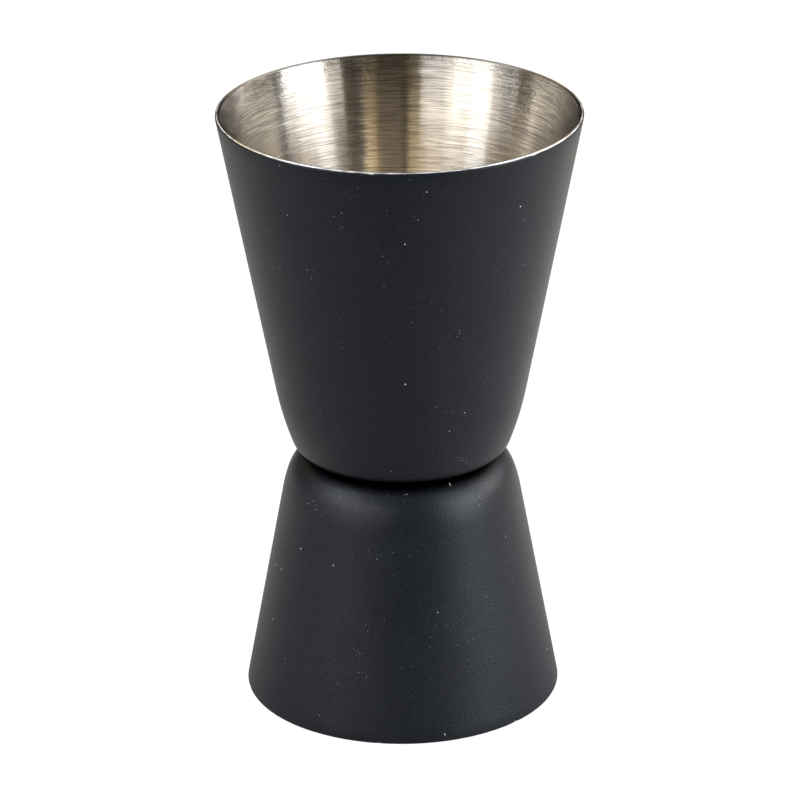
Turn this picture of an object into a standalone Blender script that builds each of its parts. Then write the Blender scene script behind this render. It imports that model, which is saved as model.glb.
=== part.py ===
"""Double-ended bar jigger: two drawn steel cups welded base to base, powder-coated on the outside.

The large cup opens upwards and the small cup downwards. The jigger stands on the small cup's rim.
The origin is the centre of that rim, +Z runs up the jigger's axis, and lengths are in metres.
"""

from math import cos, pi, radians, sin, tan
from typing import NamedTuple

import bpy

HEIGHT = 0.0800
WAIST_HEIGHT = 0.0338

STEEL_THICKNESS = 0.0005
RIM_EASE = 0.0001
COAT_THICKNESS = 0.0001
COAT_GAP = 0.00005
BARE_RIM = 0.00015
COAT_OVERLAP_ON_BASE = 0.0005

WELD_COUNT = 3
WELD_RADIUS = 0.0018
WELD_CIRCLE_RADIUS = 0.0060
WELD_THICKNESS = 0.0002
BASE_GAP = 0.0003

CUP_SIDES = 48
WELD_SIDES = 16
BELLY_STEPS = 4
EDGE_STEPS = 5
WELD_SIDE_STEPS = 4
MERGE_DISTANCE = 0.000001


class Cup(NamedTuple):
    """The outer face of a cup's steel, seen as a cup that stands on its base with its mouth up."""

    rim_radius: float
    depth: float
    wall_angle: float  # the straight wall's slope, off the axis
    belly_radius: float  # the long curve below the straight wall
    belly_angle: float  # the slope where the belly ends, off the axis
    edge_radius: float  # the tight curve from the belly into the flat base


LARGE_CUP = Cup(
    rim_radius=0.0235,
    depth=HEIGHT - WAIST_HEIGHT - BASE_GAP / 2,
    wall_angle=radians(10.86),
    belly_radius=0.0440,
    belly_angle=radians(20.6),
    edge_radius=0.0020,
)
SMALL_CUP = Cup(
    rim_radius=0.0207,
    depth=WAIST_HEIGHT - BASE_GAP / 2,
    wall_angle=radians(10.54),
    belly_radius=0.0170,
    belly_angle=radians(20.0),
    edge_radius=0.0050,
)


def material(name, colour, metallic, roughness):
    made = bpy.data.materials.new(name)
    made.use_nodes = True
    shader = made.node_tree.nodes["Principled BSDF"]
    shader.inputs["Base Color"].default_value = (*colour, 1.0)
    shader.inputs["Metallic"].default_value = metallic
    shader.inputs["Roughness"].default_value = roughness
    made.diffuse_color = (*colour, 1.0)
    return made


def arc(centre, radius, start, end, steps):
    """Points (radius, height) on a curve of the section. Angles run from outwards (0) to down (pi / 2)."""
    turn = (end - start) / steps
    angles = [start + turn * step for step in range(steps + 1)]
    return [(centre[0] + radius * cos(a), centre[1] - radius * sin(a)) for a in angles]


def curve_centres(cup):
    """Centres of the belly and of the edge: each curve runs into the next with no corner."""
    reach = cup.belly_radius - cup.edge_radius
    belly_height = cup.edge_radius + reach * sin(cup.belly_angle)
    wall_foot_height = belly_height - cup.belly_radius * sin(cup.wall_angle)
    wall_foot_radius = cup.rim_radius - (cup.depth - wall_foot_height) * tan(cup.wall_angle)
    belly_centre = wall_foot_radius - cup.belly_radius * cos(cup.wall_angle)
    edge_centre = belly_centre + reach * cos(cup.belly_angle)
    return (belly_centre, belly_height), (edge_centre, cup.edge_radius)


def face(cup, offset, top, end_radius):
    """The line that runs outside a cup's outer face by the offset, from a height down to the base."""
    belly, edge = curve_centres(cup)
    below_rim = cup.depth - top
    top_radius = cup.rim_radius + offset / cos(cup.wall_angle) - below_rim * tan(cup.wall_angle)
    belly_line = arc(belly, cup.belly_radius + offset, cup.wall_angle, cup.belly_angle, BELLY_STEPS)
    edge_line = arc(edge, cup.edge_radius + offset, cup.belly_angle, pi / 2, EDGE_STEPS)
    return [(top_radius, top), *belly_line, *edge_line[1:], (end_radius, -offset)]


def steel_outline(cup):
    """From the floor's centre up the inside, over the eased rim and down the outside to the base's centre."""
    eased = cup.depth - RIM_EASE
    inside = face(cup, -STEEL_THICKNESS, eased, 0.0)
    outside = face(cup, 0.0, eased, 0.0)
    rim = [(inside[0][0] + RIM_EASE, cup.depth), (outside[0][0] - RIM_EASE, cup.depth)]
    return [*reversed(inside), *rim, *outside]


def coat_outline(cup):
    """A ring section over the cup's outside: it leaves the rim bare and laps a little way onto the base."""
    top = cup.depth - BARE_RIM
    end_radius = curve_centres(cup)[1][0] - COAT_OVERLAP_ON_BASE
    inner = face(cup, COAT_GAP, top, end_radius)
    outer = face(cup, COAT_GAP + COAT_THICKNESS, top, end_radius)
    return [*reversed(inner), *outer]


def weld_outline():
    """A flat nugget with a rounded side, centred between the two bases."""
    half = WELD_THICKNESS / 2
    side = arc((WELD_RADIUS - half, 0.0), half, -pi / 2, pi / 2, WELD_SIDE_STEPS)
    return [(0.0, half), *side, (0.0, -half)]


def outline_mesh(name, outline, closed):
    """The section's line in the XZ plane, for a Screw modifier to turn."""
    count = len(outline)
    edges = [(i, i + 1) for i in range(count - 1)]
    if closed:
        edges.append((count - 1, 0))
    mesh = bpy.data.meshes.new(name)
    mesh.from_pydata([(radius, 0.0, height) for radius, height in outline], edges, [])
    return mesh


def turned(name, mesh, sides, finish):
    """One solid of revolution about its own Z axis."""
    body = bpy.data.objects.new(name, mesh)
    bpy.context.scene.collection.objects.link(body)
    screw = body.modifiers.new("Turn", "SCREW")
    screw.axis = "Z"
    screw.steps = sides
    screw.render_steps = sides
    screw.use_merge_vertices = True
    screw.merge_threshold = MERGE_DISTANCE
    screw.use_smooth_shade = True
    if not mesh.materials:
        mesh.materials.append(finish)
    return body


def coated_cup(name, cup, steel, coating):
    """A cup with its coat, which is placed by its parent."""
    shell = turned(name, outline_mesh(name, steel_outline(cup), closed=False), CUP_SIDES, steel)
    coat_name = f"{name}_coating"
    coat_mesh = outline_mesh(coat_name, coat_outline(cup), closed=True)
    coat = turned(coat_name, coat_mesh, CUP_SIDES, coating)
    coat.parent = shell
    return shell


def spot_welds(finish):
    """Nuggets evenly round the axis, between the two bases."""
    mesh = outline_mesh("spot_weld", weld_outline(), closed=False)
    for number in range(WELD_COUNT):
        around = 2 * pi * number / WELD_COUNT
        weld = turned(f"spot_weld_{number + 1}", mesh, WELD_SIDES, finish)
        weld.location = (
            WELD_CIRCLE_RADIUS * cos(around),
            WELD_CIRCLE_RADIUS * sin(around),
            WAIST_HEIGHT,
        )


def clear_scene():
    for existing in list(bpy.data.objects):
        bpy.data.objects.remove(existing, do_unlink=True)


def main():
    clear_scene()
    steel = material("brushed_steel", (0.56, 0.53, 0.49), 1.0, 0.28)
    coating = material("black_powder_coat", (0.012, 0.013, 0.015), 0.0, 0.50)
    weld_metal = material("weld_metal", (0.42, 0.41, 0.40), 1.0, 0.45)

    large = coated_cup("large_cup", LARGE_CUP, steel, coating)
    large.location.z = WAIST_HEIGHT + BASE_GAP / 2

    small = coated_cup("small_cup", SMALL_CUP, steel, coating)
    small.location.z = WAIST_HEIGHT - BASE_GAP / 2
    small.rotation_euler.x = pi

    spot_welds(weld_metal)


main()
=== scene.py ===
"""Looks for a bar jigger: two steel cups joined base to base, black outside and brushed steel inside.

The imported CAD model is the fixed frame. Each cup and each coat gives way to a finer mesh of the same shape.
Lengths are in metres, +Z is up, and the jigger stands on the floor at z = 0.
"""

from math import cos, exp, hypot, pi, radians, sin, tan
from typing import NamedTuple

import bmesh
import bpy
from mathutils import Matrix, Vector, noise


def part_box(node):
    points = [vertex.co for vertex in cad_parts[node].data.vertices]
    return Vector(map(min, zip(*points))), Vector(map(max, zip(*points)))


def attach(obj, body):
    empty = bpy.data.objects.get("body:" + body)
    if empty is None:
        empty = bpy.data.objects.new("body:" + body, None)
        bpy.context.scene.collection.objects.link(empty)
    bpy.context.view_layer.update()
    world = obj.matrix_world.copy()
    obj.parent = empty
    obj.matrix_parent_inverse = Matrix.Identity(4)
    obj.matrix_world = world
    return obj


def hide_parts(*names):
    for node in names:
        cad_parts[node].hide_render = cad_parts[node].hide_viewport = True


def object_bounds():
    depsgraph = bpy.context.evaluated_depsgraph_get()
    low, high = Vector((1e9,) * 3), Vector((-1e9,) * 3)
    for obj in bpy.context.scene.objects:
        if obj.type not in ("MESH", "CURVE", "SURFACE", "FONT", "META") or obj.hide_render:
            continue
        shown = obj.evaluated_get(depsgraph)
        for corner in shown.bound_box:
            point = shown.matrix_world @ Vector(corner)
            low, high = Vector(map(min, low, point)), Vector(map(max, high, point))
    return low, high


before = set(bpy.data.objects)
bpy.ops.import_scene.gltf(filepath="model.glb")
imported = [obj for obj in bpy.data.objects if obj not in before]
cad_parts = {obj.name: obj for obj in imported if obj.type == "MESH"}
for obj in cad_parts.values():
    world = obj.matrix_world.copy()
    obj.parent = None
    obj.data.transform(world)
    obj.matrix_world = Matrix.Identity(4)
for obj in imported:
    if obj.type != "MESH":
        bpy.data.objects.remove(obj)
cad_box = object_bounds()


# Shape

SEGMENTS = 384
WALL_STEPS = 20
BELLY_STEPS = 14
EDGE_STEPS = 12
FLOOR_STEPS = 30  # over the inside, where the weld dents are
BASE_STEPS = 2
RIM_STEPS = 5
LIP_STEPS = 6

STEEL_THICKNESS = 0.0005
RIM_ROUNDING = 0.00016

COAT_BITE = 0.00001  # how far the coat's back sinks into the steel, so that no light shows between them
COAT_EDGE_BELOW_RIM = 0.00007
COAT_LIP = 0.00026  # height over which the coat's upper edge rolls in to the steel
COAT_EDGE_REACH = 0.0008  # depth below the rim at which the waves and chips of the coat's edge end
COAT_EDGE_WAVE = 0.00004
BROAD_WAVES = 9.0  # scale of the noise in the coat's edge
FINE_WAVES = 41.0
FINE_WAVE_SHARE = 0.6
EDGE_CHIPS = {  # where the coat's upper edge is chipped, in degrees round the axis, and how deep
    21.0: 0.00012,
    97.0: 0.00016,
    142.0: 0.00011,
    190.6: 0.00020,
    261.3: 0.00013,
    315.4: 0.00018,
}
CHIP_HALF_WIDTH = radians(0.8)

WELD_DENT_DEPTH = 0.00007
WELD_DENT_RADIUS = 0.0021
WELD_LIP_HEIGHT = 0.25 * WELD_DENT_DEPTH
WELD_LIP_PLACE = 1.25  # in dent radii
WELD_LIP_WIDTH = 0.22


class Cup(NamedTuple):
    """The outer face of a cup's steel, seen as a cup that stands on its base with its mouth up."""

    rim_radius: float
    depth: float
    base_height: float  # of the base, above the floor
    upright: int  # 1 with the mouth up, -1 with the mouth down
    coat: float  # thickness of the coat outside the steel
    wall_angle: float
    belly_radius: float
    belly_angle: float
    edge_radius: float


def cup_from_frame(node, upright, **shape):
    """Takes a cup's sizes and place from its CAD solid and its coat's."""
    low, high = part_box(node)
    coat_low, coat_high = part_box(f"{node}_coating")
    base = low.z if upright > 0 else high.z
    coat_base = coat_low.z if upright > 0 else coat_high.z
    return Cup(
        rim_radius=high.x,
        depth=high.z - low.z,
        base_height=base,
        upright=upright,
        coat=abs(base - coat_base),
        **shape,
    )


LARGE_CUP = cup_from_frame(
    "large_cup",
    upright=1,
    wall_angle=radians(10.86),
    belly_radius=0.0440,
    belly_angle=radians(20.6),
    edge_radius=0.0020,
)
SMALL_CUP = cup_from_frame(
    "small_cup",
    upright=-1,
    wall_angle=radians(10.54),
    belly_radius=0.0170,
    belly_angle=radians(20.0),
    edge_radius=0.0050,
)


# Outlines: lists of (radius, height over the base) points, from the rim down the cup


def spaced(start, end, steps):
    """Points from start to end, without the start itself."""
    return [
        tuple(a + (b - a) * step / steps for a, b in zip(start, end))
        for step in range(1, steps + 1)
    ]


def arc(centre, radius, start, end, steps):
    """Points on a curve of the section. Angles run from outwards (0) down to the base (pi / 2)."""
    turn = (end - start) / steps
    angles = [start + turn * step for step in range(steps + 1)]
    return [(centre[0] + radius * cos(a), centre[1] - radius * sin(a)) for a in angles]


def curve_centres(cup):
    """Centres of the belly and of the edge: each curve runs into the next with no corner."""
    reach = cup.belly_radius - cup.edge_radius
    belly_height = cup.edge_radius + reach * sin(cup.belly_angle)
    wall_foot_height = belly_height - cup.belly_radius * sin(cup.wall_angle)
    wall_foot_radius = cup.rim_radius - (cup.depth - wall_foot_height) * tan(cup.wall_angle)
    belly_centre = wall_foot_radius - cup.belly_radius * cos(cup.wall_angle)
    edge_centre = belly_centre + reach * cos(cup.belly_angle)
    return (belly_centre, belly_height), (edge_centre, cup.edge_radius)


def wall_radius(cup, offset, height):
    """Radius of the straight wall at a height, on the face that runs outside the steel by the offset."""
    return cup.rim_radius + offset / cos(cup.wall_angle) - (cup.depth - height) * tan(cup.wall_angle)


def face(cup, offset, top, end_radius, floor_steps):
    """The line down a face that runs outside the steel by the offset, to a radius on the base."""
    belly, edge = curve_centres(cup)
    belly_line = arc(belly, cup.belly_radius + offset, cup.wall_angle, cup.belly_angle, BELLY_STEPS)
    edge_line = arc(edge, cup.edge_radius + offset, cup.belly_angle, pi / 2, EDGE_STEPS)
    start = (wall_radius(cup, offset, top), top)
    wall = spaced(start, belly_line[0], WALL_STEPS)
    floor = spaced(edge_line[-1], (end_radius, -offset), floor_steps)
    return [start, *wall, *belly_line[1:], *edge_line[1:], *floor]


def steel_outline(cup):
    """From the floor's centre up the inside, over the rounded rim and down the outside to the base."""
    eased = cup.depth - RIM_ROUNDING
    inside = face(cup, -STEEL_THICKNESS, eased, 0.0, FLOOR_STEPS)
    outside = face(cup, 0.0, eased, 0.0, BASE_STEPS)
    inner_centre = (inside[0][0] + RIM_ROUNDING, eased)
    outer_centre = (outside[0][0] - RIM_ROUNDING, eased)
    inner_round = arc(inner_centre, RIM_ROUNDING, -pi, -pi / 2, RIM_STEPS)
    outer_round = arc(outer_centre, RIM_ROUNDING, -pi / 2, 0.0, RIM_STEPS)
    return [*reversed(inside), *inner_round[1:], *outer_round[:-1], *outside]


def coat_outline(cup):
    """A ring section over the cup's outside. Its upper edge rolls in to the steel, under the bare rim."""
    top = cup.depth - COAT_EDGE_BELOW_RIM
    end_radius = curve_centres(cup)[1][0] - 2 * cup.coat
    back = face(cup, -COAT_BITE, top, end_radius, 1)
    front = face(cup, cup.coat, top - COAT_LIP, end_radius, 1)
    reach = front[0][0] - back[0][0]
    turns = [pi / 2 * step / LIP_STEPS for step in range(1, LIP_STEPS)]
    lip = [(back[0][0] + reach * sin(turn), top - COAT_LIP * (1 - cos(turn))) for turn in turns]
    return [*reversed(back), *lip, *front]


# Meshes


def turned(name, outline, closed, cup, shift):
    """A closed body of revolution. shift(radius, height, angle) gives how far a point of it moves up."""
    body = bmesh.new()
    rings = []
    for radius, height in outline:
        on_axis = radius < 1e-9
        ring = []
        for step in range(1 if on_axis else SEGMENTS):
            angle = 2 * pi * step / SEGMENTS
            up = 0.0 if on_axis else shift(radius, height, angle)
            z = cup.base_height + cup.upright * (height + up)
            ring.append(body.verts.new((radius * cos(angle), radius * sin(angle), z)))
        rings.append(ring)
    pairs = list(zip(rings, rings[1:]))
    if closed:
        pairs.append((rings[-1], rings[0]))
    for upper, lower in pairs:
        for step in range(SEGMENTS):
            after = (step + 1) % SEGMENTS
            corners = [
                upper[step % len(upper)],
                lower[step % len(lower)],
                lower[after % len(lower)],
                upper[after % len(upper)],
            ]
            unique = list(dict.fromkeys(corners))  # a ring on the axis gives the same corner twice
            body.faces.new(unique if cup.upright > 0 else reversed(unique))
    bmesh.ops.recalc_face_normals(body, faces=body.faces)
    mesh = bpy.data.meshes.new(name)
    body.to_mesh(mesh)
    body.free()
    mesh.shade_smooth()
    piece = bpy.data.objects.new(name, mesh)
    bpy.context.scene.collection.objects.link(piece)
    return piece


def weld_spots():
    """Centres of the welds, across the axis, from their CAD solids."""
    spots = []
    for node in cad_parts:
        if node.startswith("spot_weld"):
            low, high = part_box(node)
            spots.append((low + high) / 2)
    return spots


WELD_SPOTS = weld_spots()


def weld_dents(radius, height, angle):
    """The electrodes left a shallow round dent in the floor over each weld, with a slight lip round it."""
    inside_floor = STEEL_THICKNESS * 0.5 < height < STEEL_THICKNESS * 1.01
    if not inside_floor:
        return 0.0
    x, y = radius * cos(angle), radius * sin(angle)
    up = 0.0
    for spot in WELD_SPOTS:
        near = hypot(x - spot.x, y - spot.y) / WELD_DENT_RADIUS
        up -= WELD_DENT_DEPTH * exp(-(near**4))
        up += WELD_LIP_HEIGHT * exp(-(((near - WELD_LIP_PLACE) / WELD_LIP_WIDTH) ** 2))
    return up


def coat_edge(cup, seed):
    """The coat's upper edge wanders a little, as a sprayed and cured edge does, and has a few chips."""

    def shift(radius, height, angle):
        below = cup.depth - height
        if below > COAT_EDGE_REACH:
            return 0.0
        around = Vector((cos(angle), sin(angle), seed))
        wave = noise.noise(around * BROAD_WAVES) + FINE_WAVE_SHARE * noise.noise(around * FINE_WAVES)
        drop = COAT_EDGE_WAVE * abs(wave)
        for place, depth in EDGE_CHIPS.items():
            drop += depth * exp(-(((angle - radians(place)) / CHIP_HALF_WIDTH) ** 2))
        return -drop * (1 - below / COAT_EDGE_REACH)

    return shift


# Shader nodes


class Place(NamedTuple):
    """Outputs that give where a point is on the object."""

    coords: bpy.types.NodeSocket
    x: bpy.types.NodeSocket
    y: bpy.types.NodeSocket
    z: bpy.types.NodeSocket
    radius: bpy.types.NodeSocket  # distance from the axis


class Nodes:
    """Short ways to add and link shader nodes. A value is a number, a colour, or another node's output."""

    def __init__(self, name):
        self.material = bpy.data.materials.new(name)
        self.material.use_nodes = True
        self.tree = self.material.node_tree
        self.shader = self.tree.nodes["Principled BSDF"]

    def put(self, socket, value):
        if isinstance(value, bpy.types.NodeSocket):
            self.tree.links.new(value, socket)
        elif socket.type == "RGBA":
            socket.default_value = (*value, 1.0)
        else:
            socket.default_value = value

    def set(self, name, value):
        """Sets or links one of the material's own values."""
        self.put(self.shader.inputs[name], value)

    def add(self, kind, inputs=(), **settings):
        made = self.tree.nodes.new(kind)
        for key, value in settings.items():
            setattr(made, key, value)
        for key, value in dict(inputs).items():
            self.put(made.inputs[key], value)
        return made

    def math(self, operation, *values):
        return self.add("ShaderNodeMath", enumerate(values), operation=operation).outputs[0]

    def sum(self, first, second):
        return self.math("ADD", first, second)

    def difference(self, first, second):
        return self.math("SUBTRACT", first, second)

    def product(self, first, second):
        return self.math("MULTIPLY", first, second)

    def vector_math(self, operation, inputs):
        return self.add("ShaderNodeVectorMath", inputs, operation=operation).outputs[0]

    def remap(self, value, low, high, to_low=0.0, to_high=1.0):
        """A clamped straight-line map of a value, from low..high to to_low..to_high."""
        inputs = {"Value": value, "From Min": low, "From Max": high, "To Min": to_low, "To Max": to_high}
        return self.add("ShaderNodeMapRange", inputs).outputs["Result"]

    def mix(self, factor, first, second):
        """A mix of two colours. The node has a set of sockets for each data type, so they go by number."""
        inputs = {0: factor, 6: first, 7: second}
        return self.add("ShaderNodeMix", inputs, data_type="RGBA").outputs[2]

    def noise(self, vector, scale, detail=2.0, roughness=0.5):
        inputs = {"Vector": vector, "Scale": scale, "Detail": detail, "Roughness": roughness}
        return self.add("ShaderNodeTexNoise", inputs).outputs["Fac"]

    def combine(self, x, y, z):
        return self.add("ShaderNodeCombineXYZ", {"X": x, "Y": y, "Z": z}).outputs[0]

    def bump(self, height, **normal):
        """A normal from a height in metres, on top of another normal if one is given."""
        inputs = {"Height": height, "Strength": 1.0, "Distance": 1.0, **normal}
        return self.add("ShaderNodeBump", inputs).outputs[0]

    def place(self):
        coords = self.add("ShaderNodeTexCoord").outputs["Object"]
        x, y, z = self.add("ShaderNodeSeparateXYZ", {"Vector": coords}).outputs
        radius = self.math("SQRT", self.sum(self.product(x, x), self.product(y, y)))
        return Place(coords, x, y, z, radius)


# Brushed steel

HAIR_LINES = (0.0035, 0.00009)  # how far a mark runs round the axis, and how wide it is
SCRATCHES = (0.0070, 0.00022)
DASHES = (0.0025, 0.00012)
WORN_BANDS = (0.0300, 0.0022)
HAIR_SWAY = 0.035  # how far a mark turns the surface's normal round the axis
SCRATCH_SWAY = 0.012
HAIR_RELIEF = 0.0000022
SCRATCH_RELIEF = 0.0000025
STEEL_ROUGHNESS = (0.165, 0.185)
ACROSS_THE_BRUSHING = 0.25  # of a full turn: reflections spread across the marks, up and down the wall

PITS_ROUND = 3400.0  # pits in a metre, round the axis and along it
PITS_ALONG = 5000.0
PIT_RELIEF = 0.000005
PIT_ZONE = (0.0046, 0.0016)  # depth below the rim where the pits end, and where they are all there
PIT_ZONE_WANDER = 0.014
PIT_ZONE_PATCHES = 170.0  # in a metre

BRIGHT_EDGE_WIDTH = 0.00020  # the outer part of the rim: steel rubbed where the coat was cut back, painted near white as a highlight
BRIGHT_EDGE_HEIGHT = 0.00045
BRIGHT_EDGE_PATCHES = 700.0
RIM_TOP_ROUGHNESS = 0.20  # on top of the steel's own

STEEL_DARK = (0.36, 0.33, 0.29)
STEEL_LIGHT = (0.68, 0.645, 0.59)
STEEL_DASH = (0.22, 0.20, 0.175)
STEEL_PIT = (0.20, 0.185, 0.165)
# painted shade on the rim's top
STEEL_RIM_TOP_SHADE = (0.16, 0.15, 0.14)
# painted highlight on the rim's outer edge, near white
STEEL_EDGE_HIGHLIGHT = (0.94, 0.94, 0.93)


def brush_marks(n, at, cup, length, width):
    """Noise drawn out round the axis. It runs on from the wall to the floor."""
    along = n.sum(n.product(at.z, float(cup.upright)), at.radius)
    stretched = n.combine(
        n.math("DIVIDE", at.x, length), n.math("DIVIDE", at.y, length), n.math("DIVIDE", along, width)
    )
    return n.noise(stretched, 1.0, 1.0)


def rim_masks(n, at, cup, below_rim):
    """Where the rim's top is, for its painted shade, and where its outer edge is rubbed and carries a painted
    highlight, which is patchy.
    """
    top = n.remap(below_rim, RIM_ROUNDING * 1.1, RIM_ROUNDING * 0.8)
    edge_start = cup.rim_radius - BRIGHT_EDGE_WIDTH * 1.1
    edge_full = cup.rim_radius - BRIGHT_EDGE_WIDTH * 0.9
    across = n.remap(at.radius, edge_start, edge_full)
    down = n.remap(below_rim, BRIGHT_EDGE_HEIGHT * 1.3, BRIGHT_EDGE_HEIGHT)
    wear = n.remap(n.noise(at.coords, BRIGHT_EDGE_PATCHES, 3.0), 0.40, 0.56, 0.45, 1.0)
    return top, n.product(n.product(across, down), wear)


def pitting(n, at, below_rim):
    """Fine pits, and the patchy zone below the mouth that holds them."""
    patches = n.difference(n.noise(at.coords, PIT_ZONE_PATCHES, 3.0), 0.5)
    zone = n.remap(n.sum(below_rim, n.product(patches, PIT_ZONE_WANDER)), *PIT_ZONE)
    stretched = n.combine(
        n.product(at.x, PITS_ROUND), n.product(at.y, PITS_ROUND), n.product(at.z, PITS_ALONG)
    )
    return n.noise(stretched, 1.0, 1.0), zone


def swayed_normal(n, at, hair, scratch):
    """The surface's normal, turned a little round the axis by the marks, so that they glint."""
    sway = n.sum(
        n.product(n.difference(hair, 0.5), HAIR_SWAY), n.product(n.difference(scratch, 0.5), SCRATCH_SWAY)
    )
    round_axis = n.vector_math("NORMALIZE", {0: n.combine(n.product(at.y, -1.0), at.x, 0.0)})
    swayed = n.vector_math("SCALE", {0: round_axis, "Scale": sway})
    facing = n.add("ShaderNodeNewGeometry").outputs["Normal"]
    return n.vector_math("NORMALIZE", {0: n.vector_math("ADD", {0: facing, 1: swayed})})


def steel_material(name, cup):
    """Bare steel, brushed round the axis, with fine pits below the mouth and a rubbed rim, with painted shade
    on the rim's top and a painted highlight on its outer edge.
    """
    n = Nodes(name)
    at = n.place()
    hair = brush_marks(n, at, cup, *HAIR_LINES)
    scratch = brush_marks(n, at, cup, *SCRATCHES)
    band = brush_marks(n, at, cup, *WORN_BANDS)
    dash = n.remap(brush_marks(n, at, cup, *DASHES), 0.58, 0.70)
    rim_height = cup.base_height + cup.upright * cup.depth
    below_rim = n.product(n.difference(rim_height, at.z), float(cup.upright))
    shaded_rim_top, edge_wear_and_highlight = rim_masks(n, at, cup, below_rim)
    pits, pit_zone = pitting(n, at, below_rim)

    tone = n.sum(n.product(hair, 0.6), n.product(scratch, 0.4))
    colour = n.mix(n.remap(tone, 0.38, 0.62), STEEL_DARK, STEEL_LIGHT)
    colour = n.mix(n.product(dash, 0.4), colour, STEEL_DASH)
    pitted = n.product(n.remap(pits, 0.50, 0.62), n.product(pit_zone, 0.7))
    colour = n.mix(pitted, colour, STEEL_PIT)
    # painted shade: the rim's top is painted dark
    colour = n.mix(shaded_rim_top, colour, STEEL_RIM_TOP_SHADE)
    # painted highlight: the rim's outer edge is painted near white and made less metallic, so that it shows
    # white
    n.set("Base Color", n.mix(edge_wear_and_highlight, colour, STEEL_EDGE_HIGHLIGHT))
    n.set("Metallic", n.difference(1.0, n.product(edge_wear_and_highlight, 0.6)))
    wall_roughness = n.remap(band, 0.3, 0.7, *STEEL_ROUGHNESS)
    n.set("Roughness", n.sum(wall_roughness, n.product(shaded_rim_top, RIM_TOP_ROUGHNESS)))

    n.set("Anisotropic", 1.0)
    n.set("Anisotropic Rotation", ACROSS_THE_BRUSHING)
    n.set("Tangent", n.add("ShaderNodeTangent", direction_type="RADIAL", axis="Z").outputs[0])
    brushed = n.sum(n.product(hair, HAIR_RELIEF), n.product(scratch, SCRATCH_RELIEF))
    height = n.sum(brushed, n.product(n.product(pits, pit_zone), PIT_RELIEF))
    n.set("Normal", n.bump(height, Normal=swayed_normal(n, at, hair, scratch)))
    return n.material


# Powder coat

GRAIN_SCALE = 4600.0  # grains in a metre
GRAIN_RELIEF = 0.000032
GRAIN_ROUGHNESS = 0.05
CLOUD_SCALE = 130.0
COAT_ROUGHNESS = (0.38, 0.42)
COAT_GLOSS = 0.30
JOINT_SHADE_DEPTH = (0.30, 0.11)  # over the base, in edge radii, where the painted shade in the joint between the cups starts and is darkest

COAT_BLACK = (0.0022, 0.0038, 0.0068)
COAT_CLOUD = (0.0037, 0.0056, 0.0091)
COAT_GRAIN = (0.0170, 0.0188, 0.0215)
# painted shade in the joint between the cups
COAT_JOINT_SHADE = (0.0012, 0.0015, 0.0020)
DUST_COLOUR = (0.68, 0.67, 0.65)


class Dust(NamedTuple):
    """Round specks, at most one in each cell of a sheet."""

    cells: float  # in a metre
    share: float  # of the cells that hold a speck
    smallest: float  # radii
    largest: float


SINGLE_DUST = Dust(420.0, 0.046, 0.00005, 0.00012)
GROUPED_DUST = Dust(2000.0, 0.22, 0.00003, 0.00005)
FAINT_DUST = Dust(760.0, 0.07, 0.00004, 0.00006)
DUST_GROUPS = 260.0  # in a metre
FAINT_DUST_SHADE = 0.30
DUST_SHEET_RADIUS = 0.020  # of the sheet that the dust lies on, wrapped round the axis


def dust_mask(n, sheet, dust):
    inputs = {"Vector": sheet, "Scale": dust.cells, "Randomness": 1.0}
    cells = n.add("ShaderNodeTexVoronoi", inputs, voronoi_dimensions="2D")
    chance, size, shade = n.add("ShaderNodeSeparateColor", {"Color": cells.outputs["Color"]}).outputs
    radius = n.remap(size, 0.0, 1.0, dust.smallest * dust.cells, dust.largest * dust.cells)
    inside = n.math("LESS_THAN", cells.outputs["Distance"], radius)
    chosen = n.math("LESS_THAN", chance, dust.share)
    return n.product(n.product(inside, chosen), n.remap(shade, 0.0, 1.0, 0.25, 1.0))


def all_dust(n, at):
    """Single specks, tight groups of small ones, and faint ones."""
    around = n.product(n.math("ARCTAN2", at.y, at.x), DUST_SHEET_RADIUS)
    sheet = n.combine(around, at.z, 0.0)
    groups = n.remap(n.noise(at.coords, DUST_GROUPS), 0.64, 0.69)
    single = dust_mask(n, sheet, SINGLE_DUST)
    grouped = n.product(dust_mask(n, sheet, GROUPED_DUST), groups)
    faint = n.product(dust_mask(n, sheet, FAINT_DUST), FAINT_DUST_SHADE)
    return n.math("MAXIMUM", n.math("MAXIMUM", single, grouped), faint)


def coat_material(name, cup):
    """Matte black powder coat with a fine grain, faint clouding and a little pale dust.

    Deep in the joint between the cups the coat is painted darkest and made to reflect least: painted shade
    under the upper cup's overhang.
    """
    n = Nodes(name)
    at = n.place()
    grain = n.noise(at.coords, GRAIN_SCALE, 2.0, 0.6)
    cloud = n.noise(at.coords, CLOUD_SCALE, 3.0)
    specks = all_dust(n, at)
    over_base = n.product(n.difference(at.z, cup.base_height), float(cup.upright))
    # painted shade: darker towards the joint between the cups, where the upper cup overhangs the lower
    joint_shade = n.remap(over_base, *(cup.edge_radius * share for share in JOINT_SHADE_DEPTH))
    joint_shade = n.product(joint_shade, n.difference(1.0, specks))

    black = n.mix(n.remap(cloud, 0.35, 0.65), COAT_BLACK, COAT_CLOUD)
    black = n.mix(n.remap(grain, 0.45, 0.70, 0.0, 0.5), black, COAT_GRAIN)
    black = n.mix(joint_shade, black, COAT_JOINT_SHADE)
    n.set("Base Color", n.mix(specks, black, DUST_COLOUR))
    n.set("Metallic", joint_shade)  # painted shade: a metal this black reflects almost nothing
    n.set("Roughness", n.sum(n.remap(cloud, 0.3, 0.7, *COAT_ROUGHNESS), n.product(grain, GRAIN_ROUGHNESS)))
    n.set("Specular IOR Level", COAT_GLOSS)
    n.set("Normal", n.bump(n.product(grain, GRAIN_RELIEF)))
    return n.material


# Weld nuggets

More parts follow.
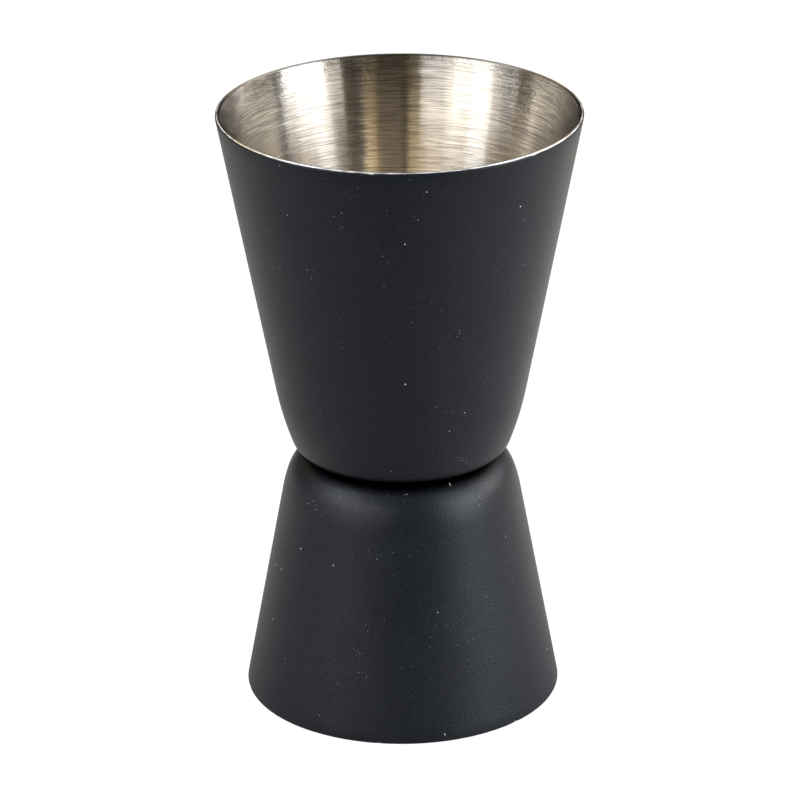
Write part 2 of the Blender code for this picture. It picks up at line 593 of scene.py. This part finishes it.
WELD_LUMPS = 1500.0  # in a metre
WELD_DARK = (0.30, 0.28, 0.26)
WELD_LIGHT = (0.48, 0.47, 0.45)
WELD_ROUGHNESS = (0.40, 0.60)


def weld_material(name):
    """Dull fused metal with a grainy surface."""
    n = Nodes(name)
    lumps = n.noise(n.place().coords, WELD_LUMPS, 3.0)
    n.set("Base Color", n.mix(n.remap(lumps, 0.3, 0.7), WELD_DARK, WELD_LIGHT))
    n.set("Metallic", 1.0)
    n.set("Roughness", n.remap(lumps, 0.3, 0.7, *WELD_ROUGHNESS))
    return n.material


# Assembly


def finish_piece(piece, finish, node):
    piece.data.materials.append(finish)
    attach(piece, "root")
    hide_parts(node)


def build_cup(node, cup, seed):
    shell = turned(f"{node}_shell", steel_outline(cup), False, cup, weld_dents)
    finish_piece(shell, steel_material(f"{node}_steel", cup), node)
    coat = turned(f"{node}_coat", coat_outline(cup), True, cup, coat_edge(cup, seed))
    finish_piece(coat, coat_material(f"{node}_black", cup), f"{node}_coating")


def dress_welds():
    finish = weld_material("weld_metal")
    for node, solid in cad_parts.items():
        if node.startswith("spot_weld"):
            solid.data.materials.clear()
            solid.data.materials.append(finish)


# Studio

CAMERA_ELEVATION = radians(22.77)
CAMERA_DISTANCE = 0.5912
CAMERA_LENS = 203.0  # mm, on Blender's 36 mm sensor
CAMERA_ROLL = radians(0.356)
CAMERA_SIDE = -0.000166
FLOOR_RADIUS = 3.0
LIGHT_DISTANCE = 1.2
LIGHT_AIM_HEIGHT = 0.05
WHITE = (1.0, 1.0, 1.0)
WARM_WHITE = (1.0, 0.96, 0.88)
ROOM_COLOUR = (0.050, 0.042, 0.032)
BACKDROP_STRENGTH = 1.1


def table_glow(n, x, y):
    """How bright the table is in reflections: dim close to the jigger, and dark far in front of it."""
    ends = n.product(n.remap(y, -0.14, -0.10), n.remap(y, 0.25, 0.40, 1.0, 0.4))
    far_level = n.remap(x, -0.06, 0.0, 0.66, 0.76)
    level = n.remap(n.math("ABSOLUTE", n.sum(y, 0.03)), 0.0, 0.11, 0.42, far_level)
    level = n.sum(level, n.remap(x, 0.0, 0.08, 0.0, 0.19))
    level = n.product(level, n.remap(n.math("ABSOLUTE", x), 0.0, 0.045, 0.74, 1.12))
    return n.product(ends, level)


def floor_material():
    """A white table, evenly lit to the camera. In reflections it is dimmer, and warmer at the back."""
    n = Nodes("pale_floor")
    at = n.place()
    seen = n.add("ShaderNodeLightPath").outputs["Is Camera Ray"]
    tint = n.mix(n.remap(at.y, 0.03, 0.12), WHITE, WARM_WHITE)
    n.set("Base Color", (0.06, 0.06, 0.06))
    n.set("Roughness", 0.9)
    n.set("Specular IOR Level", 0.0)
    n.set("Emission Strength", n.remap(seen, 0.0, 1.0, table_glow(n, at.x, at.y), 1.0))
    n.set("Emission Color", n.mix(seen, tint, WHITE))
    return n.material


def add_floor():
    body = bmesh.new()
    bmesh.ops.create_circle(body, cap_ends=True, segments=96, radius=FLOOR_RADIUS)
    mesh = bpy.data.meshes.new("floor")
    body.to_mesh(mesh)
    body.free()
    floor = bpy.data.objects.new("floor", mesh)
    bpy.context.scene.collection.objects.link(floor)
    floor.data.materials.append(floor_material())


def add_camera():
    low, high = cad_box
    aim = Vector((CAMERA_SIDE, 0.0, (low.z + high.z) / 2))
    back = Vector((0.0, -cos(CAMERA_ELEVATION), sin(CAMERA_ELEVATION)))
    camera = bpy.data.objects.new("camera", bpy.data.cameras.new("camera"))
    bpy.context.scene.collection.objects.link(camera)
    camera.data.lens = CAMERA_LENS
    camera.data.clip_start = 0.01
    camera.data.clip_end = 20.0
    turn = (-back).to_track_quat("-Z", "Y").to_matrix().to_4x4() @ Matrix.Rotation(-CAMERA_ROLL, 4, "Z")
    camera.matrix_world = Matrix.Translation(aim + back * CAMERA_DISTANCE) @ turn
    bpy.context.scene.camera = camera


def add_softbox(name, azimuth, elevation, width, height, radiance, colour):
    """A light panel aimed at the jigger. Azimuth 0 is the camera's side, and positive is to its right.

    The width and the height are angles seen from the jigger, in degrees.
    """
    a, e = radians(azimuth), radians(elevation)
    away = Vector((sin(a) * cos(e), -cos(a) * cos(e), sin(e)))
    light = bpy.data.lights.new(name, "AREA")
    light.shape = "RECTANGLE"
    light.size = 2 * LIGHT_DISTANCE * tan(radians(width / 2))
    light.size_y = 2 * LIGHT_DISTANCE * tan(radians(height / 2))
    light.energy = 4 * light.size * light.size_y * radiance
    light.color = colour
    lamp = bpy.data.objects.new(name, light)
    bpy.context.scene.collection.objects.link(lamp)
    lamp.location = Vector((0.0, 0.0, LIGHT_AIM_HEIGHT)) + away * LIGHT_DISTANCE
    lamp.rotation_mode = "QUATERNION"
    lamp.rotation_quaternion = away.to_track_quat("Z", "Y")
    lamp.visible_camera = False


def add_world():
    """A dim warm room in reflections, and a plain white backdrop behind the floor's edge."""
    world = bpy.data.worlds.new("studio")
    bpy.context.scene.world = world
    world.use_nodes = True
    tree = world.node_tree
    room = tree.nodes["Background"]
    room.inputs["Color"].default_value = (*ROOM_COLOUR, 1.0)
    room.inputs["Strength"].default_value = 1.0
    backdrop = tree.nodes.new("ShaderNodeBackground")
    backdrop.inputs["Color"].default_value = (*WHITE, 1.0)
    backdrop.inputs["Strength"].default_value = BACKDROP_STRENGTH
    seen = tree.nodes.new("ShaderNodeLightPath")
    choice = tree.nodes.new("ShaderNodeMixShader")
    tree.links.new(seen.outputs["Is Camera Ray"], choice.inputs["Fac"])
    tree.links.new(room.outputs[0], choice.inputs[1])
    tree.links.new(backdrop.outputs[0], choice.inputs[2])
    tree.links.new(choice.outputs[0], tree.nodes["World Output"].inputs["Surface"])


def add_softboxes():
    add_softbox("left_front", -27, 20, 24, 18, 3.0, (0.98, 1.0, 1.03))
    add_softbox("left_softbox", -62, 22, 45, 22, 4.0, (0.98, 1.0, 1.03))
    add_softbox("left_upper", -76, 41, 28, 22, 4.0, (0.93, 1.0, 1.16))
    add_softbox("left_low", -50, 6, 26, 12, 1.5, (0.98, 1.0, 1.03))
    add_softbox("right_softbox", 71, 20, 32, 16, 7.4, (0.97, 1.0, 1.06))
    add_softbox("right_fill", 104, 21, 27, 20, 5.9, (1.0, 1.0, 0.98))
    add_softbox("right_low", 66, 6, 30, 12, 6.2, (0.93, 1.0, 1.1))
    add_softbox("right_upper", 68, 39, 23, 22, 3.0, (0.85, 1.0, 1.3))
    add_softbox("right_front", 46, 16, 15, 17, 2.3, (1.0, 0.98, 0.95))
    add_softbox("back_right", 131, 20, 25, 16, 1.5, (0.9, 0.95, 1.2))
    add_softbox("back_right_upper", 143, 39, 40, 22, 2.6, (1.08, 0.92, 0.62))
    add_softbox("top_back", 170, 64, 75, 28, 1.9, (1.0, 1.0, 0.9))
    add_softbox("back_left_strip", -140, 39, 15, 22, 2.8, (1.07, 0.82, 0.40))
    add_softbox("back_panel", -168, 39, 28, 22, 1.0, (1.05, 0.9, 0.75))


def add_studio():
    add_floor()
    add_camera()
    add_world()
    add_softboxes()
    bpy.context.scene.view_settings.view_transform = "Standard"


build_cup("large_cup", LARGE_CUP, seed=1.0)
build_cup("small_cup", SMALL_CUP, seed=5.0)
dress_welds()
add_studio()
